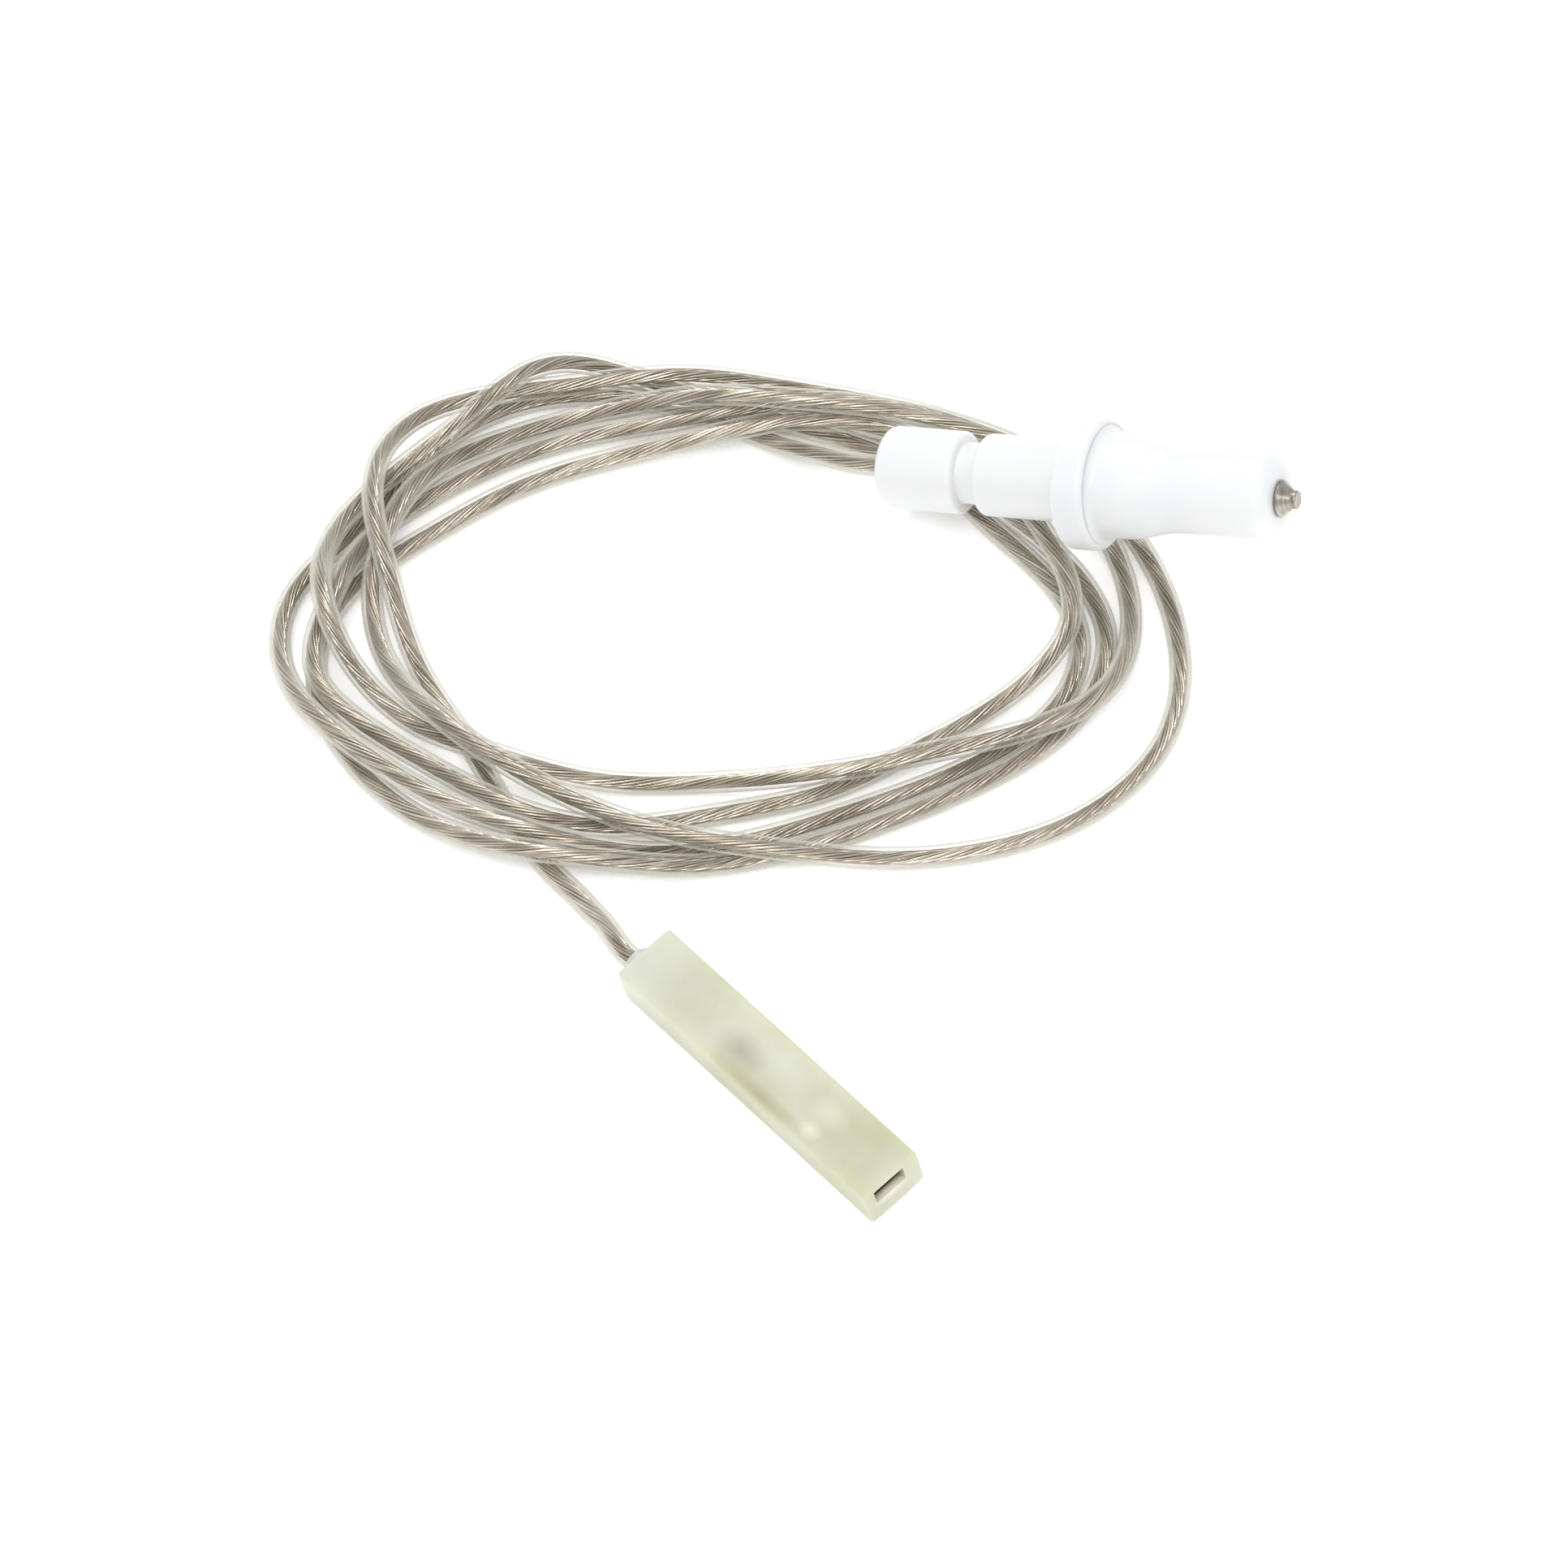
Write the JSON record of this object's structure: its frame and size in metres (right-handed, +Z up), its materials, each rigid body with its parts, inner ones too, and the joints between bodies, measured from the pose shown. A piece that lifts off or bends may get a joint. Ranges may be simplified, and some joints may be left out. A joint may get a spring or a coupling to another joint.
{
  "type": "ignition electrode",
  "caption": "Stepped ceramic spark electrode with a steel pin, a coiled clear-sheathed high-voltage lead and a nylon push-on receptacle.",
  "frame": {"origin": "centre of the box round the electrode (ceramic, pin and what is in them), without the lead and its connector", "axes": "+X is the way the electrode heads, from its lead end to its spark tip, and its longest side; its axis rises 16.2 degrees from +X towards +Z; +Z is up from the surface that the lead and the connector lie on"},
  "size_m": [0.0902, 0.0924, 0.0204],
  "materials": {
    "glazed_ceramic": "white gloss glaze",
    "pin_steel": "turned stainless steel, satin",
    "sleeve_steel": "plain",
    "cement": "off-white set cement",
    "lead_jacket": "clear sheath over the stranded core",
    "tinned_copper": "twisted tinned copper wires",
    "nylon": "natural translucent nylon, satin",
    "terminal_brass": "plain stamped brass"
  },
  "bodies": {
    "root": {"ceramic_insulator": "glazed_ceramic", "electrode_pin": "pin_steel", "crimp_sleeve": "sleeve_steel", "tail_cement": "cement", "tail_jacket": "lead_jacket", "tail_conductor": "tinned_copper", "lead_electrode_run": "lead_jacket", "lead_coil": "lead_jacket", "lead_connector_run": "lead_jacket", "connector_housing": "nylon", "receptacle_terminal": "terminal_brass", "connector_jacket": "lead_jacket", "connector_conductor": "tinned_copper"}
  },
  "joints": []
}
